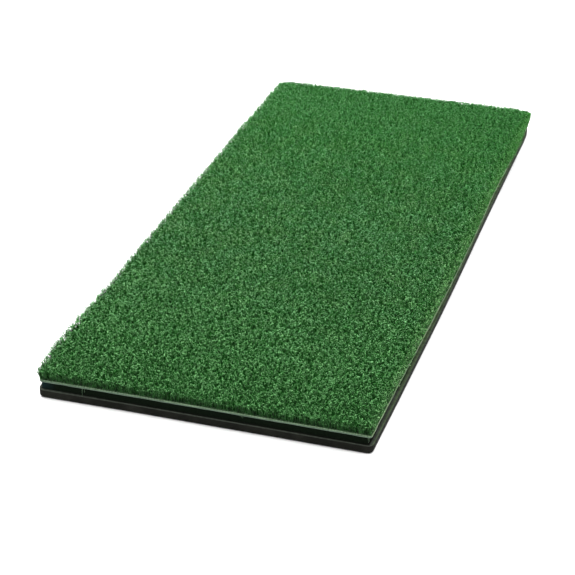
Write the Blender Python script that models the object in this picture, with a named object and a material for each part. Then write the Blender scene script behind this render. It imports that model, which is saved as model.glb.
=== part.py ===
"""Golf hitting mat: a narrow laminated strip that lies on the floor.

From the floor up it is a moulded rubber base, a bonding film, a shock-absorbing foam pad, a second
bonding film, and the artificial turf: a cast backing coat, a woven primary backing, and the nylon
pile that is tufted through it. Nothing on the mat moves.

Metres, +Z up. The origin is the middle of the underside. The length runs along Y and the width
along X.
"""

import bmesh
import bpy
from mathutils import Matrix, Vector

# Driving dimensions
MAT_WIDTH = 0.307
MAT_LENGTH = 0.713
GAP = 0.0003  # clearance between pieces that lie on each other

BASE_THICKNESS = 0.008
BASE_CORNER_RADIUS = 0.005
BASE_LOWER_EDGE_RADIUS = 0.0018
BASE_UPPER_EDGE_RADIUS = 0.0004

FOAM_THICKNESS = 0.0072
FOAM_SETBACK = 0.0025  # the base stands this far proud of the foam, as a ledge
FOAM_CORNER_RADIUS = 0.0025

FILM_THICKNESS = 0.0004
FILM_SETBACK = 0.010  # the films stop this far inside the foam's edge
POCKET_MARGIN = 0.001  # the foam's pockets are this much wider than the films in them

COAT_THICKNESS = 0.0007
BACKING_THICKNESS = 0.0006
TURF_SETBACK = 0.001  # the turf is cut this much smaller than the base, all round
TURF_CORNER_RADIUS = 0.0025

PILE_HEIGHT = 0.0118
PILE_SPREAD = 0.0015  # the yarn leans out this far past the backing
PILE_BULGE_HEIGHT = 0.45  # share of the pile's height at which it is widest
PILE_CORNER_RADIUS = 0.006
PILE_TOP_RADIUS = 0.003

CORNER_SEGMENTS = 6
EDGE_SEGMENTS = 4

# Heights, worked out from the floor up
BASE_TOP = BASE_THICKNESS
FOAM_BOTTOM = BASE_TOP + GAP
FOAM_TOP = FOAM_BOTTOM + FOAM_THICKNESS
COAT_BOTTOM = FOAM_TOP + GAP
COAT_TOP = COAT_BOTTOM + COAT_THICKNESS
BACKING_BOTTOM = COAT_TOP + GAP
BACKING_TOP = BACKING_BOTTOM + BACKING_THICKNESS
PILE_BOTTOM = BACKING_TOP + GAP
PILE_TOP = PILE_BOTTOM + PILE_HEIGHT
POCKET_DEPTH = FILM_THICKNESS + GAP

FLAT = 1e-6  # two corners closer than this in height are level


def clear_scene():
    for obj in list(bpy.data.objects):
        bpy.data.objects.remove(obj, do_unlink=True)


def material(name, colour, roughness, metallic=0.0):
    mat = bpy.data.materials.new(name)
    mat.use_nodes = True
    shader = mat.node_tree.nodes["Principled BSDF"]
    shader.inputs["Base Color"].default_value = (*colour, 1.0)
    shader.inputs["Roughness"].default_value = roughness
    shader.inputs["Metallic"].default_value = metallic
    mat.diffuse_color = (*colour, 1.0)
    return mat


def level_edges(bm, height):
    """The edges that lie at one height, round the outline of the slab there."""
    return [
        edge
        for edge in bm.edges
        if all(abs(vert.co.z - height) < FLAT for vert in edge.verts)
    ]


def round_edges(bm, edges, radius, segments):
    bmesh.ops.bevel(
        bm,
        geom=edges,
        offset=radius,
        segments=segments,
        affect="EDGES",
        profile=0.5,
        material=-1,
    )


def slab(width, length, bottom, top, corner_radius):
    """A flat slab with rounded upright corners, centred on the origin in plan."""
    bm = bmesh.new()
    size = Matrix.Diagonal((width, length, top - bottom, 1.0))
    place = Matrix.Translation((0.0, 0.0, (bottom + top) / 2.0))
    bmesh.ops.create_cube(bm, size=1.0, matrix=place @ size)
    uprights = [
        edge
        for edge in bm.edges
        if (edge.verts[0].co.xy - edge.verts[1].co.xy).length < FLAT
    ]
    round_edges(bm, uprights, corner_radius, CORNER_SEGMENTS)
    return bm


def finish(name, bm, mat, collection):
    """Turns the working mesh into the named piece."""
    mesh = bpy.data.meshes.new(name)
    bm.to_mesh(mesh)
    bm.free()
    mesh.materials.append(mat)
    obj = bpy.data.objects.new(name, mesh)
    collection.objects.link(obj)
    return obj


def rubber_base(collection):
    bm = slab(MAT_WIDTH, MAT_LENGTH, 0.0, BASE_TOP, BASE_CORNER_RADIUS)
    round_edges(bm, level_edges(bm, 0.0), BASE_LOWER_EDGE_RADIUS, EDGE_SEGMENTS)
    round_edges(bm, level_edges(bm, BASE_TOP), BASE_UPPER_EDGE_RADIUS, 2)
    look = material("rubber", (0.020, 0.018, 0.015), 0.72)
    return finish("rubber_base", bm, look, collection)


def foam_pad(collection, cutters):
    """The foam, with a shallow pocket in each face for a bonding film to lie in."""
    width = MAT_WIDTH - 2.0 * FOAM_SETBACK
    length = MAT_LENGTH - 2.0 * FOAM_SETBACK
    bm = slab(width, length, FOAM_BOTTOM, FOAM_TOP, FOAM_CORNER_RADIUS)
    look = material("foam", (0.006, 0.008, 0.006), 0.9)
    pad = finish("foam_pad", bm, look, collection)
    inset = 2.0 * (FILM_SETBACK - POCKET_MARGIN)
    for name, face in (("lower_pocket", FOAM_BOTTOM), ("upper_pocket", FOAM_TOP)):
        low, high = face - POCKET_DEPTH, face + POCKET_DEPTH
        bm = slab(width - inset, length - inset, low, high, FOAM_CORNER_RADIUS)
        cutter = finish(name, bm, look, cutters)
        cutter.hide_render = True
        cutter.display_type = "WIRE"
        cut = pad.modifiers.new(name, "BOOLEAN")
        cut.operation = "DIFFERENCE"
        cut.solver = "EXACT"
        cut.object = cutter
    return pad


def bond_film(name, bottom, collection):
    width = MAT_WIDTH - 2.0 * (FOAM_SETBACK + FILM_SETBACK)
    length = MAT_LENGTH - 2.0 * (FOAM_SETBACK + FILM_SETBACK)
    bm = slab(width, length, bottom, bottom + FILM_THICKNESS, FOAM_CORNER_RADIUS)
    look = material(name, (0.55, 0.50, 0.36), 0.35)
    return finish(name, bm, look, collection)


def turf_layer(name, bottom, thickness, colour, roughness, collection):
    width = MAT_WIDTH - 2.0 * TURF_SETBACK
    length = MAT_LENGTH - 2.0 * TURF_SETBACK
    bm = slab(width, length, bottom, bottom + thickness, TURF_CORNER_RADIUS)
    return finish(name, bm, material(name, colour, roughness), collection)


def turf_pile(collection):
    """The yarn as one soft block: it leans outwards above the backing and rounds over at the top."""
    width = MAT_WIDTH - 2.0 * TURF_SETBACK
    length = MAT_LENGTH - 2.0 * TURF_SETBACK
    bm = slab(width, length, PILE_BOTTOM, PILE_TOP, PILE_CORNER_RADIUS)
    waist = Vector((0.0, 0.0, PILE_BOTTOM + PILE_BULGE_HEIGHT * PILE_HEIGHT))
    bmesh.ops.bisect_plane(
        bm,
        geom=[*bm.verts, *bm.edges, *bm.faces],
        plane_co=waist,
        plane_no=(0.0, 0.0, 1.0),
    )
    leaning = [vert for vert in bm.verts if vert.co.z > PILE_BOTTOM + FLAT]
    spread = Vector((1.0 + 2.0 * PILE_SPREAD / width, 1.0 + 2.0 * PILE_SPREAD / length, 1.0))
    bmesh.ops.scale(bm, verts=leaning, vec=spread)
    round_edges(bm, level_edges(bm, PILE_TOP), PILE_TOP_RADIUS, EDGE_SEGMENTS)
    return finish("turf_pile", bm, material("turf_pile", (0.035, 0.18, 0.045), 0.85), collection)


def build():
    clear_scene()
    collection = bpy.data.collections.new("golf_hitting_mat")
    bpy.context.scene.collection.children.link(collection)
    cutters = bpy.data.collections.new("cutters")
    bpy.context.scene.collection.children.link(cutters)
    rubber_base(collection)
    bond_film("lower_bond_film", FOAM_BOTTOM, collection)
    foam_pad(collection, cutters)
    bond_film("upper_bond_film", FOAM_TOP - FILM_THICKNESS, collection)
    turf_layer(
        "turf_backing_coat", COAT_BOTTOM, COAT_THICKNESS, (0.16, 0.17, 0.14), 0.6, collection
    )
    turf_layer(
        "turf_primary_backing",
        BACKING_BOTTOM,
        BACKING_THICKNESS,
        (0.22, 0.26, 0.16),
        0.8,
        collection,
    )
    turf_pile(collection)


build()
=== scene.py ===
"""Looks of the golf hitting mat: yarn pile, woven backing, foam pad and rubber base."""

import math

import bmesh
import bpy
import numpy as np
from mathutils import Euler, Matrix, Vector, noise


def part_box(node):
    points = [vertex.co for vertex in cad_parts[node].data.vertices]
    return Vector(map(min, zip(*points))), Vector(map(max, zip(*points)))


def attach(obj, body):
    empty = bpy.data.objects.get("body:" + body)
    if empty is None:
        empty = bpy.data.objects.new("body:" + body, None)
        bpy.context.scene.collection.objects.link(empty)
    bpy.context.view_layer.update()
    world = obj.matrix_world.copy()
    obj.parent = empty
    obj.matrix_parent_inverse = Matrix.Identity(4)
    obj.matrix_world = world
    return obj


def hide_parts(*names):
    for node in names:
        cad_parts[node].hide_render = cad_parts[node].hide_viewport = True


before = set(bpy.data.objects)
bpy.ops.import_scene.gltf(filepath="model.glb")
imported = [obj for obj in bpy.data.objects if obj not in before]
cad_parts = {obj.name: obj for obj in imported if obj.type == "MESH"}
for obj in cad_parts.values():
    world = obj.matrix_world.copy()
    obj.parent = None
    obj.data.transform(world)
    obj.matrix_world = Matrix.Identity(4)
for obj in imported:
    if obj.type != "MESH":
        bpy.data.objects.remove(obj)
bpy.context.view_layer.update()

MM = 0.001
X, Y = 0, 1
SEED = 20

# The mat's own dimensions, read from the frame
PILE_LOW, PILE_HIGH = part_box("turf_pile")
BACK_LOW, BACK_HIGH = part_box("turf_primary_backing")
COAT_LOW, COAT_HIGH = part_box("turf_backing_coat")
FOAM_LOW, FOAM_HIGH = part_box("foam_pad")
BASE_LOW, BASE_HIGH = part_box("rubber_base")

# Yarn
TUFT_GAUGE = 3.1 * MM  # between rows of tufts, across the mat
STITCH_LENGTH = 3.5 * MM  # between tufts along a row
ENDS_PER_TUFT = 3
YARN_HEIGHT = 11.9 * MM
YARN_WIDTH = 0.72 * MM
YARN_THICKNESS = 0.32 * MM
YARN_SHAPES = 64
EDGE_SPACING = 0.26 * MM
PILE_MARGIN = 1.0 * MM  # the outermost tufts stand this far inside the backing's edge
PILE_PIECES = 10
FAR_CORNER = 10.0 * MM  # rounding of the pile's outline at its two far corners
NEAR_CORNER = 4.0 * MM
SHEARED_END = 7.0 * MM  # length over which the pile's far end is sheared round

# Layers under the pile: each fills the clearance that the frame keeps above and below it
SEAM = BACK_LOW.z - 0.15 * MM  # height where the coat meets the woven cloth
CUT_CORNER = 2.5 * MM  # rounding of the corners of foam, coat and cloth
TAPE_WIDTH = 1.3 * MM  # of one woven tape

LEVEL = 1e-6  # corners closer than this are level, or one above the other
NEARLY_FLAT = 0.999  # a face whose normal rises more than this is part of a top or an underside


# ---------------------------------------------------------------- shader maths


class Signal:
    """A socket whose value varies over a surface, for use in ordinary expressions."""

    def __init__(self, finish, socket):
        self.finish = finish
        self.socket = socket

    def math(self, operation, first, second=0.0):
        return self.finish.node("ShaderNodeMath", {"operation": operation}, {0: first, 1: second})

    def __add__(self, other):
        return self.math("ADD", self, other)

    def __radd__(self, other):
        return self.math("ADD", other, self)

    def __sub__(self, other):
        return self.math("SUBTRACT", self, other)

    def __rsub__(self, other):
        return self.math("SUBTRACT", other, self)

    def __mul__(self, other):
        return self.math("MULTIPLY", self, other)

    def __rmul__(self, other):
        return self.math("MULTIPLY", other, self)

    def size(self):
        return self.math("ABSOLUTE", self)

    def wave(self, pitch):
        """Swings between -1 and 1 once in every pitch."""
        return self.math("SINE", self * (2.0 * math.pi / pitch))


class Finish:
    """A material being made up from nodes round one Principled shader."""

    def __init__(self, name, **constants):
        self.material = bpy.data.materials.new(name)
        self.material.use_nodes = True
        self.tree = self.material.node_tree
        self.shader = self.tree.nodes["Principled BSDF"]
        for socket, value in constants.items():
            self.shader.inputs[socket.replace("_", " ")].default_value = value

    def node(self, kind, settings=None, sockets=None, out=0):
        made = self.tree.nodes.new(kind)
        for key, value in (settings or {}).items():
            if key == "stops":
                self.set_stops(made.color_ramp, value)
            else:
                setattr(made, key, value)
        for key, value in (sockets or {}).items():
            self.feed(made.inputs[key], value)
        return Signal(self, made.outputs[out])

    def set_stops(self, ramp, stops):
        while len(ramp.elements) < len(stops):
            ramp.elements.new(1.0)
        for element, (place, colour) in zip(ramp.elements, stops, strict=True):
            element.position = place
            element.color = (*colour, 1.0)

    def feed(self, socket, value):
        if isinstance(value, Signal):
            self.tree.links.new(value.socket, socket)
        elif isinstance(value, tuple) and socket.type == "RGBA":
            socket.default_value = (*value, 1.0)
        else:
            socket.default_value = value

    def place(self):
        """Where the surface is, in metres."""
        return self.node("ShaderNodeTexCoord", out="Object")

    def own_map(self, name):
        return self.node("ShaderNodeUVMap", {"uv_map": name})

    def split(self, vector):
        parts = self.tree.nodes.new("ShaderNodeSeparateXYZ")
        self.feed(parts.inputs[0], vector)
        return [Signal(self, output) for output in parts.outputs]

    def stretch(self, vector, scale):
        return self.node("ShaderNodeMapping", sockets={"Vector": vector, "Scale": scale})

    def noise(self, vector, scale, detail=2.0):
        sockets = {"Vector": vector, "Scale": scale, "Detail": detail}
        return self.node("ShaderNodeTexNoise", sockets=sockets)

    def cells(self, vector, scale):
        sockets = {"Vector": vector, "Scale": scale}
        return self.node("ShaderNodeTexVoronoi", sockets=sockets)

    def between(self, value, low, high, low_out=0.0, high_out=1.0):
        """Goes evenly from one output to the other as the value goes from low to high."""
        sockets = {"Value": value, 1: low, 2: high, 3: low_out, 4: high_out}
        return self.node("ShaderNodeMapRange", {"clamp": True}, sockets)

    def ramp(self, value, stops):
        return self.node("ShaderNodeValToRGB", {"stops": stops}, {0: value})

    def mix(self, share, first, second, blend="MIX"):
        settings = {"data_type": "RGBA", "blend_type": blend}
        sockets = {0: share, 6: first, 7: second}
        return self.node("ShaderNodeMix", settings, sockets, out=2)

    def multiply(self, first, second):
        return self.mix(1.0, first, second, "MULTIPLY")

    def bump(self, height, distance):
        sockets = {"Height": height, "Distance": distance}
        self.set(Normal=self.node("ShaderNodeBump", sockets=sockets))

    def set(self, **links):
        for socket, value in links.items():
            self.feed(self.shader.inputs[socket.replace("_", " ")], value)


# ---------------------------------------------------------------- mesh helpers


def new_piece(name, mesh, material, body="root"):
    """Puts a mesh into the scene with its finish, riding on a body of the frame."""
    mesh.materials.clear()
    mesh.materials.append(material)
    obj = bpy.data.objects.new(name, mesh)
    bpy.context.scene.collection.objects.link(obj)
    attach(obj, body)
    return obj


def mesh_from(name, bm):
    mesh = bpy.data.meshes.new(name)
    bm.to_mesh(mesh)
    bm.free()
    return mesh


def round_edges(bm, edges, radius, segments):
    bmesh.ops.bevel(
        bm,
        geom=edges,
        offset=radius,
        segments=segments,
        affect="EDGES",
        profile=0.5,
        material=-1,
    )


def level_edges(bm, height):
    """The edges that lie at one height."""
    return [
        edge
        for edge in bm.edges
        if all(abs(vert.co.z - height) < LEVEL for vert in edge.verts)
    ]


def slab(low, high, corner, lower, upper):
    """A flat slab from low to high, with its upright corners and its two rims rounded."""
    size = Matrix.Diagonal((*(high - low), 1.0))
    bm = bmesh.new()
    bmesh.ops.create_cube(bm, size=1.0, matrix=Matrix.Translation((low + high) / 2.0) @ size)
    uprights = [
        edge
        for edge in bm.edges
        if (edge.verts[0].co.xy - edge.verts[1].co.xy).length < LEVEL
    ]
    round_edges(bm, uprights, corner, segments=8)
    round_edges(bm, level_edges(bm, low.z), lower, segments=5)
    round_edges(bm, level_edges(bm, high.z), upper, segments=3)
    return bm


def cross_cut(bm, axis, spacing):
    """Cuts the long sides of a slab at even steps, so that they can be bent."""
    reach = max(abs(vert.co[axis]) for vert in bm.verts)
    normal = Vector((0.0, 0.0, 0.0))
    normal[axis] = 1.0
    steps = math.floor(reach / spacing)
    for step in range(-steps, steps + 1):
        bm.normal_update()
        sides = [face for face in bm.faces if abs(face.normal.z) < NEARLY_FLAT]
        edges = dict.fromkeys(edge for face in sides for edge in face.edges)
        geometry = [*edges, *sides]
        bmesh.ops.bisect_plane(bm, geom=geometry, plane_co=normal * step * spacing, plane_no=normal)


def swell(y, middle, reach):
    """A smooth swelling along the length: 1 at its middle, gone well past its reach."""
    return np.exp(-(((y - middle) / reach) ** 2))


def hand_laid(x, y):
    """The outline as cut and laid by hand: the sides wander, the near end is narrower and askew.

    The amounts are in millimetres, out from the exact rectangle.
    """
    across = x / BACK_HIGH.x
    right = np.clip(across, 0.0, 1.0)
    left = np.clip(-across, 0.0, 1.0)
    near = np.clip((-y / BACK_HIGH.y - 0.55) / 0.45, 0.0, 1.0)
    right_out = 1.1 * swell(y, -0.08, 0.13) - 2.0 * swell(y, 0.357, 0.014) - 1.2 * near**2 - 0.1
    left_out = 2.2 * swell(y, -0.30, 0.05) - 1.2 * swell(y, -0.185, 0.03) - 2.7 * near**8
    left_out += 1.4 * swell(y, 0.21, 0.03) - 0.3
    askew = near * np.clip(left - 0.4, 0.0, 1.0) / 0.6
    return x + MM * (right * right_out - left * left_out), y - MM * askew


def turf_laid(x, y):
    """The turf's outline: as hand_laid, but it creeps out over the base on the right."""
    right = np.clip(x / BACK_HIGH.x, 0.0, 1.0)
    creep = 2.0 * np.clip((y + 0.26) / 0.2, 0.0, 1.0) + 0.6 * swell(y, 0.03, 0.05)
    creep += 1.0 * swell(y, 0.357, 0.02) - 0.7 * swell(y, 0.14, 0.04)
    x, y = hand_laid(x, y)
    return x + MM * right * creep, y


def foam_laid(x, y):
    """The foam's outline: as hand_laid, but cut further in on the right, near the front."""
    right = np.clip(x / BACK_HIGH.x, 0.0, 1.0)
    recess = 1.6 * np.clip((-y - 0.25) / 0.03, 0.0, 1.0)
    x, y = hand_laid(x, y)
    return x - MM * right * recess, y


def hand_cut(bm, laid, sideways, upright, wavelength):
    """Lets the sides of a slab wander in and out, and its rims up and down, as after a knife."""
    reach = 1.5 * MM  # how far in from the side the wander is felt
    far_x = max(vert.co.x for vert in bm.verts)
    far_y = max(vert.co.y for vert in bm.verts)
    for vert in bm.verts:
        edge_x = max(0.0, 1.0 - (far_x - abs(vert.co.x)) / reach)
        edge_y = max(0.0, 1.0 - (far_y - abs(vert.co.y)) / reach)
        spot = Vector((vert.co.x, vert.co.y, 0.0)) / wavelength
        drift = noise.noise_vector(spot)
        laid_x, laid_y = laid(vert.co.x, vert.co.y)
        vert.co.x = laid_x + sideways * drift.x * edge_x
        vert.co.y = laid_y + sideways * drift.y * edge_y
        vert.co.z += upright * drift.z * max(edge_x, edge_y)


def ribbon(points, width, thickness, roll, taper=0.3):
    """A thin closed ribbon along the points, ending in a tip.

    Each corner's layer "along" says how far along the ribbon it is, from 0 to 1.
    """
    last = len(points) - 1
    bm = bmesh.new()
    along = bm.verts.layers.float.new("along")
    bmesh.ops.create_circle(bm, cap_ends=True, segments=3, radius=0.5)
    cap = bm.faces[:][0]
    placed = Matrix.Identity(4)
    for index, point in enumerate(points):
        heading = points[min(index + 1, last)] - points[max(index - 1, 0)]
        scale = 1.0 - taper * (index / last) ** 2
        turned = heading.to_track_quat("Z", "X").to_matrix().to_4x4()
        size = Matrix.Diagonal((width * scale, thickness * scale, 1.0, 1.0))
        target = Matrix.Translation(point) @ turned @ Matrix.Rotation(roll, 4, "Z") @ size
        if index > 0:
            cap = bmesh.ops.extrude_discrete_faces(bm, faces=[cap])["faces"][0]
        bmesh.ops.transform(bm, matrix=target @ placed.inverted(), verts=cap.verts)
        for corner in cap.verts:
            corner[along] = index / last
        placed = target
    bmesh.ops.pointmerge(bm, verts=cap.verts, merge_co=points[-1])
    bmesh.ops.recalc_face_normals(bm, faces=bm.faces)
    return bm


# ---------------------------------------------------------------- yarn shapes


def crimp_points(rng):
    """The bends of one crimped yarn end: up from its tuft, then zigzagging at the pile's top."""
    rises = (6.6 * MM, 3.0 * MM, 1.4 * MM, 0.7 * MM, 0.1 * MM)
    reaches = (0.6 * MM, 1.0 * MM, 1.6 * MM, 1.8 * MM, 1.6 * MM)
    heading = rng.uniform(0.0, 2.0 * math.pi)
    points = [Vector((0.0, 0.0, 0.0))]
    for rise, reach in zip(rises, reaches, strict=True):
        step = Vector((reach * rng.uniform(0.7, 1.25), 0.0, rise * rng.uniform(0.6, 1.3)))
        step.rotate(Euler((0.0, 0.0, heading)))
        points.append(points[-1] + step)
        heading += rng.choice((-1.0, 1.0)) * rng.uniform(1.2, 2.6)
    stretch = rng.normal(1.0, 0.05) * YARN_HEIGHT / max(point.z for point in points)
    for point in points:
        point.z *= stretch
    return points


def yarn_shape(rng):
    """One yarn end: the corners of its ribbon, how far up each corner is, and its faces."""
    bm = ribbon(crimp_points(rng), YARN_WIDTH, YARN_THICKNESS, rng.uniform(0.0, math.pi))
    along = bm.verts.layers.float["along"]
    bm.verts.index_update()
    corners = np.array([vert.co for vert in bm.verts])
    height = np.array([vert[along] for vert in bm.verts])
    faces = [[vert.index for vert in face.verts] for face in bm.faces]
    bm.free()
    return corners, height, faces


def copies_mesh(name, shapes, picks, turns, places, shades):
    """One mesh of many yarn ends: each a copy of a shape, turned, placed and given a shade.

    The UV map "yarn" holds the shade as its first value and the way up the yarn as its second.
    """
    faces = shapes[0][2]
    height = shapes[0][1]
    corners = np.stack([shape[0] for shape in shapes])[picks]
    corners = np.einsum("nij,nvj->nvi", turns, corners) + places[:, None, :]
    count, per_copy = corners.shape[:2]
    loops = np.concatenate(faces)
    sizes = np.array([len(face) for face in faces])
    mesh = bpy.data.meshes.new(name)
    mesh.vertices.add(count * per_copy)
    mesh.vertices.foreach_set("co", corners.astype(np.float32).ravel())
    all_loops = (loops[None, :] + per_copy * np.arange(count)[:, None]).ravel()
    mesh.loops.add(len(all_loops))
    mesh.loops.foreach_set("vertex_index", all_loops.astype(np.int32))
    starts = np.concatenate([[0], np.cumsum(sizes)[:-1]])
    all_starts = (starts[None, :] + len(loops) * np.arange(count)[:, None]).ravel()
    mesh.polygons.add(len(all_starts))
    mesh.polygons.foreach_set("loop_start", all_starts.astype(np.int32))
    mesh.update(calc_edges=True)
    yarn_map = mesh.uv_layers.new(name="yarn")
    spots = np.empty((count, len(loops), 2), np.float32)
    spots[:, :, 0] = shades[:, None]
    spots[:, :, 1] = height[loops][None, :]
    yarn_map.data.foreach_set("uv", spots.ravel())
    mesh.shade_smooth()
    return mesh


def leaning(tilt_x, tilt_y, spin, size):
    """Turning matrices, as one array: spin about the upright, lean, and overall size."""
    angle = np.hypot(tilt_x, tilt_y)
    safe = np.maximum(angle, 1e-9)
    axis_x, axis_y = -tilt_y / safe, tilt_x / safe
    c, s = np.cos(angle), np.sin(angle)
    lean = np.zeros((len(spin), 3, 3))
    lean[:, 0, 0] = c + axis_x**2 * (1 - c)
    lean[:, 0, 1] = lean[:, 1, 0] = axis_x * axis_y * (1 - c)
    lean[:, 1, 1] = c + axis_y**2 * (1 - c)
    lean[:, 2, 2] = c
    lean[:, 0, 2] = axis_y * s
    lean[:, 2, 0] = -axis_y * s
    lean[:, 1, 2] = -axis_x * s
    lean[:, 2, 1] = axis_x * s
    turn = np.zeros_like(lean)
    turn[:, 0, 0] = turn[:, 1, 1] = np.cos(spin)
    turn[:, 0, 1] = -np.sin(spin)
    turn[:, 1, 0] = np.sin(spin)
    turn[:, 2, 2] = 1.0
    return (lean @ turn) * size[:, None, None]


def inside(position, half):
    """Folds places that fell outside the edge back in."""
    over = np.maximum(np.abs(position) - half, 0.0)
    return np.sign(position) * (np.abs(position) - 2.0 * over)


def round_corners(x, y):
    """Draws places in the four corners in to a rounded outline, more so at the far end."""
    radius = np.where(y > 0.0, FAR_CORNER, NEAR_CORNER)
    beyond_x = np.maximum(np.abs(x) - (BACK_HIGH.x - radius), 0.0)
    beyond_y = np.maximum(np.abs(y) - (BACK_HIGH.y - radius), 0.0)
    far = np.hypot(beyond_x, beyond_y)
    drawn = np.where(far > radius, 1.0 - radius / np.maximum(far, radius), 0.0)
    return x - np.sign(x) * beyond_x * drawn, y - np.sign(y) * beyond_y * drawn


def tufted_ends(rng):
    """The yarn ends in their rows of tufts: places, sizes, and how far they lean at an edge."""
    half = Vector((BACK_HIGH.x - PILE_MARGIN, BACK_HIGH.y - PILE_MARGIN))
    rows = round(2.0 * half.x / TUFT_GAUGE) + 1
    stitches = round(2.0 * half.y / STITCH_LENGTH) + 1
    x, y = np.meshgrid(
        np.linspace(-half.x, half.x, rows), np.linspace(-half.y, half.y, stitches), indexing="ij"
    )
    x = np.repeat(x.ravel(), ENDS_PER_TUFT)
    y = np.repeat(y.ravel(), ENDS_PER_TUFT)
    x = inside(x + rng.normal(0.0, 0.85 * MM, len(x)), half.x)
    y = inside(y + rng.normal(0.0, 0.95 * MM, len(y)), half.y)
    size = rng.normal(1.0, 0.045, len(x)).clip(0.85, 1.1)
    lean = 0.10
    return x, y, size, lean


def cut_edge_ends(rng):
    """The shorter, unruly ends along the four edges, where the tufts were cut through."""
    inset = 0.4 * MM
    half = Vector((BACK_HIGH.x - inset, BACK_HIGH.y - inset))
    count = round(4.0 * (half.x + half.y) / EDGE_SPACING)
    walk = rng.uniform(0.0, 4.0 * (half.x + half.y), count)
    inward = np.abs(rng.normal(0.0, 1.2 * MM, count))
    along_x = walk < 4.0 * half.x
    side = rng.choice((-1.0, 1.0), count)
    x = np.where(along_x, rng.uniform(-half.x, half.x, count), side * (half.x - inward))
    y = np.where(along_x, side * (half.y - inward), rng.uniform(-half.y, half.y, count))
    size = rng.uniform(0.4, 0.95, count)
    # At the far end they crowd further in and are nearly as long as the rest
    crowded = y > half.y - SHEARED_END
    y = np.where(crowded, y - 2.0 * inward, y)
    size = np.where(crowded, rng.uniform(0.88, 0.98, count), size)
    lean = 0.2
    return x, y, size, lean


def edge_pull(x, y):
    """How strongly yarn leans out, across and along: most at an edge, not at all well inside.

    Two stretches of the right side are combed further out.
    """
    reach = 6.0 * MM
    near_x = np.clip(1.0 - (BACK_HIGH.x - np.abs(x)) / reach, 0.0, 1.0)
    near_y = np.clip(1.0 - (BACK_HIGH.y - np.abs(y)) / reach, 0.0, 1.0)
    pull_x = np.sign(x) * near_x**1.5
    pull_y = np.where(y > 0.0, 0.5, -1.0) * near_y**1.5
    excess = np.maximum(np.hypot(pull_x, pull_y), 1.0)
    combed = 1.6 * swell(y, 0.26, 0.07) + swell(y, -0.235, 0.03)
    return pull_x / excess * (1.0 + np.where(x > 0.0, combed, 0.0)), pull_y / excess


def sheared(x, y):
    """Share of its height that yarn keeps: the far end is sheared round, its corners are worn."""
    worn_reach = 16.0 * MM
    past = np.clip((y - BACK_HIGH.y) / SHEARED_END + 1.0, 0.0, 1.0)
    from_corner = np.hypot(BACK_HIGH.x - np.abs(x), BACK_HIGH.y - y)
    worn = np.clip(1.0 - from_corner / worn_reach, 0.0, 1.0)
    return (1.0 - 0.16 * past**2) * (1.0 - 0.3 * worn)


def yarn_ends(rng):
    """Every yarn end: which shape it copies, how it is turned, where it stands, and its shade."""
    unruly = 0.08  # spread of the lean, in radians
    picks, turns, places, shades = [], [], [], []
    for x, y, size, lean in (tufted_ends(rng), cut_edge_ends(rng)):
        count = len(x)
        pull_x, pull_y = edge_pull(x, y)
        tilt_x = rng.normal(0.0, unruly, count) + lean * pull_x
        tilt_y = rng.normal(0.0, unruly, count) + lean * pull_y
        spin = rng.uniform(0.0, 2.0 * math.pi, count)
        turns.append(leaning(tilt_x, tilt_y, spin, size * sheared(x, y)))
        x, y = turf_laid(*round_corners(x, y))
        places.append(np.stack([x, y, np.full(count, PILE_LOW.z)], axis=1))
        picks.append(rng.integers(0, YARN_SHAPES, count))
        shades.append(rng.uniform(0.0, 1.0, count))
    return [np.concatenate(part) for part in (picks, turns, places, shades)]


def pile(finish):
    """The yarn ends, sorted along the mat and shared out among the pieces."""
    rng = np.random.default_rng(SEED)
    shapes = [yarn_shape(rng) for _ in range(YARN_SHAPES)]
    picks, turns, places, shades = yarn_ends(rng)
    order = np.argsort(places[:, 1], kind="stable")
    for index, part in enumerate(np.array_split(order, PILE_PIECES)):
        mesh = copies_mesh(
            f"yarn_pile_{index + 1}", shapes, picks[part], turns[part], places[part], shades[part]
        )
        piece = new_piece(mesh.name, mesh, finish)
        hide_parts("turf_pile")


def pile_roots(finish):
    """The dense foot of the pile, where the yarn ends stand too close to tell apart."""
    rng = np.random.default_rng(SEED + 1)
    inset = 2.2 * MM
    height = 7.0 * MM
    banked = 1.9 * MM  # how much higher it stands at the far end
    bank_length = 9.0 * MM
    bm = bmesh.new()
    size = Matrix.Diagonal((2.0 * (BACK_HIGH.x - inset), 2.0 * (BACK_HIGH.y - inset), 1.0, 1.0))
    bmesh.ops.create_grid(bm, x_segments=70, y_segments=160, size=0.5, matrix=size)
    bmesh.ops.translate(bm, verts=bm.verts, vec=(0.0, 0.0, PILE_LOW.z))
    ground = bm.faces[:]
    raised = bmesh.ops.extrude_face_region(bm, geom=ground, use_keep_orig=True)["geom"]
    for corner in [item for item in raised if isinstance(item, bmesh.types.BMVert)]:
        from_end = BACK_HIGH.y - inset - corner.co.y
        corner.co.z += height + banked * max(0.0, 1.0 - from_end / bank_length)
        corner.co.z += rng.normal(0.0, 0.7 * MM)
        corner.co.x += rng.normal(0.0, 0.5 * MM)
        corner.co.y += rng.normal(0.0, 0.5 * MM)
    bmesh.ops.recalc_face_normals(bm, faces=bm.faces)
    piece = new_piece("pile_roots", mesh_from("pile_roots", bm), finish)
    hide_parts("turf_pile")


# ---------------------------------------------------------------- finishes

YELLOWER_EDGE_TINT = (0.95, 1.05, 0.7)  # yellower tint of the backing and its coat along the right side


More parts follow.
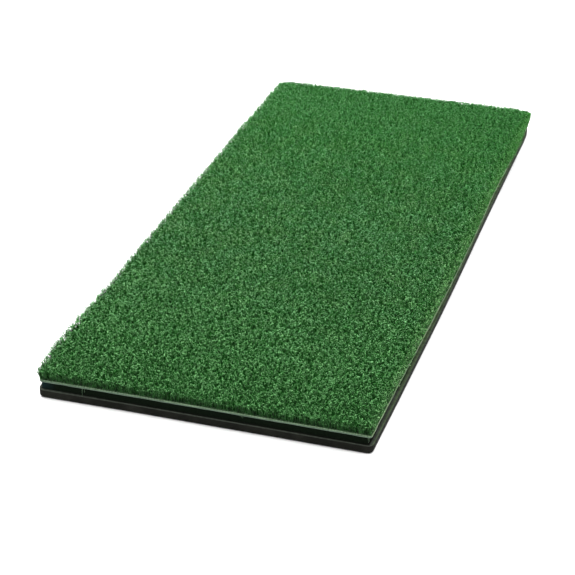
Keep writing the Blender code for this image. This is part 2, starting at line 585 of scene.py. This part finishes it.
def yarn_finish():
    """Crimped nylon: light and dark greens in one yarn, with painted glints at its crimps and
    painted shade at its foot.
    """
    look = Finish("pile_yarn", Roughness=0.5, Specular_IOR_Level=0.06)
    place = look.place()
    shade, along, _ = look.split(look.own_map("yarn"))
    across, length, _ = look.split(place)
    bends = look.noise(look.stretch(place, (1.0, 1.0, 2.4)), 1500.0, detail=0.0)
    # Painted glints: the crimp noise raises the tone to the pale top of the ramp below. It is partly
    # the yarn's own light and dark crimps, partly painted highlight.
    crimps = look.between(bends, 0.40, 0.60)
    contrast = look.between(length, PILE_LOW.y, PILE_HIGH.y, 1.60, 0.52)
    # Painted light: the yarn is made brighter towards the far end and towards the left.
    painted_light_falloff = look.between(length, PILE_LOW.y, PILE_HIGH.y, 0.472, 0.508)
    painted_light_falloff += look.between(across, PILE_LOW.x, PILE_HIGH.x, 0.014, -0.012)
    tone = (shade * 0.45 + crimps * 0.7 - 0.575) * contrast + painted_light_falloff
    blend = look.ramp(
        tone,
        (
            (0.0, (0.001, 0.034, 0.001)),
            (0.30, (0.014, 0.130, 0.012)),
            (0.70, (0.120, 0.430, 0.115)),
            (1.0, (0.470, 0.900, 0.455)),
        ),
    )
    patches = look.between(look.noise(place, 45.0, detail=3.0), 0.4, 0.6)
    tint = look.mix(patches, (0.87, 0.97, 0.95), (0.96, 0.97, 0.89))
    near = look.between(length, PILE_LOW.y, PILE_LOW.y + 300.0 * MM, 1.0, 0.0)
    tint = look.mix(near, tint, (0.80, 0.97, 0.76))
    far = look.between(length, PILE_HIGH.y - 150.0 * MM, PILE_HIGH.y)
    tint = look.mix(far, tint, (1.04, 1.0, 1.12))
    right = look.between(across, PILE_HIGH.x - 9.0 * MM, PILE_HIGH.x)
    tint = look.mix(right, tint, (0.88, 0.90, 0.74))
    # Painted shade: the yarn is darker within 60 mm of the front edge.
    front = look.between(length, PILE_LOW.y, PILE_LOW.y + 60.0 * MM, 1.0, 0.0)
    tint = look.mix(front, tint, look.multiply(tint, (0.78, 0.78, 0.78)))
    tufts = look.between(look.noise(look.stretch(place, (1.0, 1.0, 0.4)), 480.0), 0.45, 0.55)
    # Painted shade at the foot of each yarn: dark low down and lit higher up, with less of it
    # towards the far end.
    foot = look.mix(tone * 0.3 + tufts * 0.7, (0.0002, 0.002, 0.0002), (0.034, 0.120, 0.031))
    foot_shade_eased = look.between(length, -100.0 * MM, PILE_HIGH.y, 0.04, 0.45)
    lit = look.between(along, 0.3, 0.8) * (1.0 - foot_shade_eased) + foot_shade_eased
    look.set(Base_Color=look.mix(lit, foot, look.multiply(blend, tint)))
    return look.material


def roots_finish():
    """The crowded foot of the pile, coloured in painted deep shade, since hardly any light gets in.
    """
    look = Finish("pile_roots", Roughness=0.9, Specular_IOR_Level=0.05)
    grain = look.noise(look.place(), 900.0, detail=3.0)
    look.set(Base_Color=look.mix(grain, (0.001, 0.014, 0.001), (0.004, 0.05, 0.004)))
    look.bump(grain, 0.8 * MM)
    return look.material


def weave_finish():
    """Flat polypropylene tapes, woven over and under, with green yarn caught between them."""
    look = Finish("woven_backing", Roughness=0.6, Specular_IOR_Level=0.3)
    place = look.place()
    across, along, _ = look.split(place)
    weave = across.wave(2.0 * TAPE_WIDTH) * 0.5 + along.wave(2.0 * TAPE_WIDTH) * 0.5
    strands = look.noise(look.stretch(place, (1.0, 1.0, 3.0)), 900.0, detail=3.0)
    wear = look.between(look.noise(place, 38.0, detail=3.0), 0.35, 0.65)
    tapes = look.ramp(
        weave * 0.18 + strands * 0.75 + 0.12,
        (
            (0.0, (0.014, 0.042, 0.015)),
            (0.45, (0.060, 0.112, 0.059)),
            (1.0, (0.185, 0.270, 0.168)),
        ),
    )
    worn = look.mix(wear, tapes, look.multiply(tapes, (1.35, 1.3, 1.25)))
    # Yellower towards the right edge.
    yellower_edge = look.between(across, BACK_HIGH.x - 2.0 * MM, BACK_HIGH.x - 1.0 * MM)
    look.set(Base_Color=look.mix(yellower_edge, worn, look.multiply(worn, YELLOWER_EDGE_TINT)))
    look.bump(weave * 0.5 + strands, 0.3 * MM)
    return look.material


def coat_finish():
    """Grey urethane, cast thin over the tuft backs, with a skin that creeps and pits at the cut."""
    look = Finish("backing_coat", Roughness=0.55, Specular_IOR_Level=0.25)
    place = look.place()
    skin = look.noise(place, 420.0, detail=4.0)
    pits = look.between(look.cells(place, 700.0), 0.0, 0.35, 0.35, 1.0)
    tone = look.mix(skin, (0.034, 0.058, 0.038), (0.104, 0.152, 0.108))
    pitted = look.mix(pits, (0.020, 0.033, 0.022), tone)
    across, _, _ = look.split(place)
    # Yellower towards the right edge.
    yellower_edge = look.between(across, COAT_HIGH.x - 2.0 * MM, COAT_HIGH.x - 1.0 * MM)
    look.set(Base_Color=look.mix(yellower_edge, pitted, look.multiply(pitted, YELLOWER_EDGE_TINT)))
    look.bump(skin * 0.7 + pits * 0.3, 0.3 * MM)
    return look.material


def foam_finish():
    """Cut closed-cell foam: open bubbles, upright knife marks, and a painted cool reflection at one
    end.
    """
    look = Finish("foam", Roughness=0.9, Specular_IOR_Level=0.03)
    place = look.place()
    across, along, height = look.split(place)
    bubbles = look.between(look.cells(place, 1300.0), 0.1, 0.6)
    marks = look.noise(look.stretch(place, (1.0, 1.0, 0.12)), 1500.0, detail=2.0)
    grain = bubbles * 0.5 + marks * 0.5
    body = look.mix(grain, (0.0006, 0.0016, 0.0006), (0.0036, 0.0070, 0.0034))
    # Painted reflection: a cool bluish sheen over the near-left end.
    painted_sheen_x = look.between(across, FOAM_LOW.x, FOAM_LOW.x + 16.0 * MM, 0.9, 0.0)
    painted_sheen = painted_sheen_x * look.between(along, FOAM_LOW.y, FOAM_LOW.y + 16.0 * MM, 1.0, 0.0)
    lint = look.between(across, FOAM_HIGH.x - 1.5 * MM, FOAM_HIGH.x - 0.6 * MM, 0.0, 0.5)
    dusty = look.between(height, FOAM_LOW.z, FOAM_LOW.z + 1.6 * MM, 0.25, 0.0)
    cool = look.mix(painted_sheen * marks, body, (0.010, 0.028, 0.034))
    linty = look.mix(lint * look.between(marks, 0.3, 0.7, 0.3, 1.0), cool, (0.020, 0.055, 0.012))
    look.set(Base_Color=look.mix(dusty * marks, linty, (0.030, 0.038, 0.028)))
    look.bump(bubbles * 0.6 + marks * 0.4, 0.4 * MM)
    return look.material


def rubber_finish():
    """Dark moulded rubber: pebbled grain, dust in patches, a painted pale rim of light along the
    top, and painted shade on the right side.
    """
    look = Finish("base_rubber", Specular_IOR_Level=0.08)
    place = look.place()
    across, along, height = look.split(place)
    pebbles = look.cells(place, 900.0)
    grain = look.noise(place, 700.0, detail=4.0)
    body = look.mix(grain, (0.0022, 0.0026, 0.0015), (0.0058, 0.0062, 0.0040))
    patches = look.between(look.noise(place, 42.0, detail=4.0), 0.45, 0.75, 0.0, 0.7)
    dusty = look.mix(patches * grain, body, (0.026, 0.027, 0.021))
    # Painted light: a pale rim along the top of the ledge, where light falls on it, broken up by
    # this noise.
    rim_breakup = look.between(look.noise(place, 230.0, detail=3.0), 0.3, 0.6, 0.55, 1.0)
    rim = look.between(height, BASE_HIGH.z - 0.55 * MM, BASE_HIGH.z - 0.15 * MM)
    outer_x = look.between(across.size(), BASE_HIGH.x - 4.5 * MM, BASE_HIGH.x - 3.5 * MM)
    outer_y = look.between(along.size(), BASE_HIGH.y - 1.5 * MM, BASE_HIGH.y - 1.0 * MM)
    outer = look.between(outer_x + outer_y, 0.0, 1.0)
    # Painted shade: the right side is darker. There the pale rim is greener, a painted reflection of
    # the green pile.
    right = look.between(across, BASE_HIGH.x - 2.5 * MM, BASE_HIGH.x - 1.5 * MM)
    shaded = look.mix(right, dusty, look.multiply(dusty, (0.45, 0.48, 0.30)))
    pale = look.mix(right, (0.050, 0.059, 0.047), (0.062, 0.092, 0.045))
    look.set(Base_Color=look.mix(rim * outer * rim_breakup, shaded, pale))
    look.set(Roughness=look.between(grain, 0.3, 0.7, 0.62, 0.85))
    look.bump(pebbles * 0.6 + grain * 0.4, 0.25 * MM)
    return look.material


def film_finish():
    """Cured contact adhesive, amber and streaky from the spreader."""
    look = Finish("bond_film", Roughness=0.35)
    place = look.place()
    streaks = look.noise(look.stretch(place, (1.0, 0.05, 1.0)), 260.0, detail=3.0)
    look.set(Base_Color=look.mix(streaks, (0.36, 0.30, 0.18), (0.62, 0.56, 0.40)))
    look.bump(streaks, 0.15 * MM)
    return look.material


def dress(node, material):
    """Gives a piece that stays as the frame has it its finish."""
    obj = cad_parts[node]
    obj.data.materials.clear()
    obj.data.materials.append(material)


# ---------------------------------------------------------------- layers under the pile


def layer(name, bm, finish, node):
    """Turns a slab into a finished piece that takes the place of one in the frame."""
    mesh = mesh_from(name, bm)
    mesh.shade_smooth()
    mesh.set_sharp_from_angle(angle=math.radians(35.0))
    piece = new_piece(name, mesh, finish)
    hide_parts(node)
    return piece


def rubber_base():
    """The moulded base, rounded at its corners and round its lower rim."""
    bm = slab(BASE_LOW, BASE_HIGH, corner=5.0 * MM, lower=2.0 * MM, upper=0.45 * MM)
    cross_cut(bm, X, 20.0 * MM)
    cross_cut(bm, Y, 20.0 * MM)
    hand_cut(bm, hand_laid, sideways=0.15 * MM, upright=0.0, wavelength=40.0 * MM)
    layer("moulded_base", bm, rubber_finish(), "rubber_base")


def foam_pad():
    """The foam fills the height between base and turf; its knife-cut sides wander a little."""
    low = Vector((FOAM_LOW.x, FOAM_LOW.y, BASE_HIGH.z))
    bm = slab(low, FOAM_HIGH, CUT_CORNER, lower=0.25 * MM, upper=0.25 * MM)
    cross_cut(bm, X, 6.0 * MM)
    cross_cut(bm, Y, 8.0 * MM)
    hand_cut(bm, foam_laid, sideways=0.35 * MM, upright=0.0, wavelength=17.0 * MM)
    piece = layer("cut_foam", bm, foam_finish(), "foam_pad")


def turf_backing():
    """The cast coat and the woven cloth on it, cut together and bent a little by the knife."""
    coat = slab(
        Vector((COAT_LOW.x, COAT_LOW.y, FOAM_HIGH.z)),
        Vector((COAT_HIGH.x, COAT_HIGH.y, SEAM)),
        CUT_CORNER,
        lower=0.3 * MM,
        upper=0.1 * MM,
    )
    cross_cut(coat, X, 4.0 * MM)
    cross_cut(coat, Y, 5.0 * MM)
    hand_cut(coat, turf_laid, sideways=0.5 * MM, upright=0.12 * MM, wavelength=9.0 * MM)
    layer("cast_coat", coat, coat_finish(), "turf_backing_coat")
    cloth = slab(
        Vector((BACK_LOW.x, BACK_LOW.y, SEAM)),
        Vector((BACK_HIGH.x, BACK_HIGH.y, PILE_LOW.z)),
        CUT_CORNER,
        lower=0.1 * MM,
        upper=0.2 * MM,
    )
    cross_cut(cloth, X, 3.0 * MM)
    cross_cut(cloth, Y, 4.0 * MM)
    hand_cut(cloth, turf_laid, sideways=0.5 * MM, upright=0.12 * MM, wavelength=7.0 * MM)
    piece = layer(
        "primary_backing", cloth, weave_finish(), "turf_primary_backing"
    )
    tape_ends(piece.active_material)
    loose_strands(piece.active_material)


def loose_strands(finish):
    """Frayed strands that hang from the cut edge over the foam.

    Each strand is the spot where it leaves the edge, and its steps from there in millimetres.
    """
    front = BACK_LOW.y
    strands = (
        ((-0.1105, front), (-0.5, -0.5, -3.5), (0.3, -0.9, -3.3), (0.1, -0.4, -2.0)),
        ((-0.1090, front), (0.4, -0.6, -2.2), (0.2, -0.5, -1.5), (-0.3, 0.0, -1.0)),
        ((0.0330, front), (-2.0, -0.4, 1.0), (-1.8, -0.2, 0.3), (-1.2, 0.0, -0.6)),
        ((0.0360, front), (1.4, -0.5, -1.5), (1.2, -0.1, -1.5), (0.5, 0.0, -0.8)),
        ((0.1490, front), (0.6, -0.7, -2.6), (0.5, -0.3, -2.2), (-0.3, 0.0, -1.4)),
        ((0.1505, front), (-0.3, -0.5, -2.0), (0.6, -0.4, -1.6), (0.4, 0.0, -1.0)),
    )
    pieces = bmesh.new()
    for (x, y), *steps in strands:
        x, y = (float(value) for value in turf_laid(x, y))
        points = [Vector((x, y, SEAM + 0.3 * MM))]
        for step in steps:
            points.append(points[-1] + Vector(step) * MM)
        strand = mesh_from("strand", ribbon(points, 0.42 * MM, 0.16 * MM, 0.6, taper=0.2))
        pieces.from_mesh(strand)
        bpy.data.meshes.remove(strand)
    piece = new_piece("loose_strands", mesh_from("loose_strands", pieces), finish)
    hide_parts("turf_primary_backing")
    return piece


def tape_ends(finish):
    """Cut ends of the woven tapes, standing out a little from the backing's four edges."""
    rng = np.random.default_rng(SEED + 2)
    half = Vector((BACK_HIGH.x, BACK_HIGH.y))
    corner = 2.0 * MM  # no tape ends this close to a corner
    bm = bmesh.new()
    for axis, count in ((X, 180), (Y, 420)):
        other = 1 - axis
        for _ in range(count):
            spot = Vector((0.0, 0.0, 0.0))
            spot[axis] = rng.uniform(-half[axis] + corner, half[axis] - corner)
            spot[other] = rng.choice((-1.0, 1.0)) * half[other]
            spot.x, spot.y = (float(value) for value in turf_laid(spot.x, spot.y))
            spot.z = rng.uniform(SEAM + 0.2 * MM, PILE_LOW.z - 0.2 * MM)
            size = Vector((0.0, 0.0, rng.uniform(0.08, 0.2) * MM))
            size[axis] = rng.uniform(0.5, 1.3) * MM
            size[other] = rng.uniform(0.6, 1.5) * MM
            tilt = Euler(rng.normal(0.0, 0.12, 3).tolist()).to_matrix().to_4x4()
            matrix = Matrix.Translation(spot) @ tilt @ Matrix.Diagonal((*size, 1.0))
            bmesh.ops.create_cube(bm, size=1.0, matrix=matrix)
    piece = new_piece("tape_ends", mesh_from("tape_ends", bm), finish)
    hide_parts("turf_primary_backing")
    return piece


# ---------------------------------------------------------------- studio

CAMERA_PLACE = Vector((0.4455, -1.539, 0.8185))
CAMERA_AIM = Vector((-0.0028, -0.0978, 0.0))
CAMERA_ROLL = math.radians(0.24)
CAMERA_LENS = 109.35


def camera():
    data = bpy.data.cameras.new("camera")
    data.lens = CAMERA_LENS
    data.sensor_width = 36.0
    obj = bpy.data.objects.new("camera", data)
    bpy.context.scene.collection.objects.link(obj)
    aim = (CAMERA_AIM - CAMERA_PLACE).to_track_quat("-Z", "Y").to_matrix().to_4x4()
    obj.matrix_world = (
        Matrix.Translation(CAMERA_PLACE) @ aim @ Matrix.Rotation(CAMERA_ROLL, 4, "Z")
    )
    bpy.context.scene.camera = obj


def floor():
    """A plain pale floor, a hair below the mat so that the two don't share a plane."""
    bm = bmesh.new()
    bmesh.ops.create_grid(bm, x_segments=1, y_segments=1, size=6.0)
    mesh = mesh_from("floor", bm)
    look = Finish("floor", Roughness=0.9)
    look.set(Base_Color=(0.96, 0.96, 0.96))
    mesh.materials.append(look.material)
    obj = bpy.data.objects.new("floor", mesh)
    bpy.context.scene.collection.objects.link(obj)
    obj.location.z = -0.1 * MM


def soft_light(name, place, size, power):
    """A softbox that faces the middle of the mat."""
    data = bpy.data.lights.new(name, "AREA")
    data.shape = "RECTANGLE"
    data.size, data.size_y = size
    data.energy = power
    obj = bpy.data.objects.new(name, data)
    bpy.context.scene.collection.objects.link(obj)
    obj.location = place
    obj.rotation_euler = (-Vector(place)).to_track_quat("-Z", "Y").to_euler()


def studio():
    world = bpy.data.worlds.new("studio")
    world.use_nodes = True
    background = world.node_tree.nodes["Background"]
    background.inputs["Color"].default_value = (1.0, 1.0, 1.0, 1.0)
    background.inputs["Strength"].default_value = 1.0
    bpy.context.scene.world = world
    bpy.context.scene.view_settings.view_transform = "Standard"
    soft_light("overhead", (-0.3, 0.6, 2.0), size=(3.0, 3.0), power=142.0)
    soft_light("right_side", (2.0, -0.3, 1.2), size=(1.2, 1.6), power=5.0)
    floor()
    camera()


# ---------------------------------------------------------------- the mat


def build():
    rubber_base()
    foam_pad()
    turf_backing()
    film = film_finish()
    dress("lower_bond_film", film)
    dress("upper_bond_film", film)
    pile_roots(roots_finish())
    pile(yarn_finish())
    studio()


build()
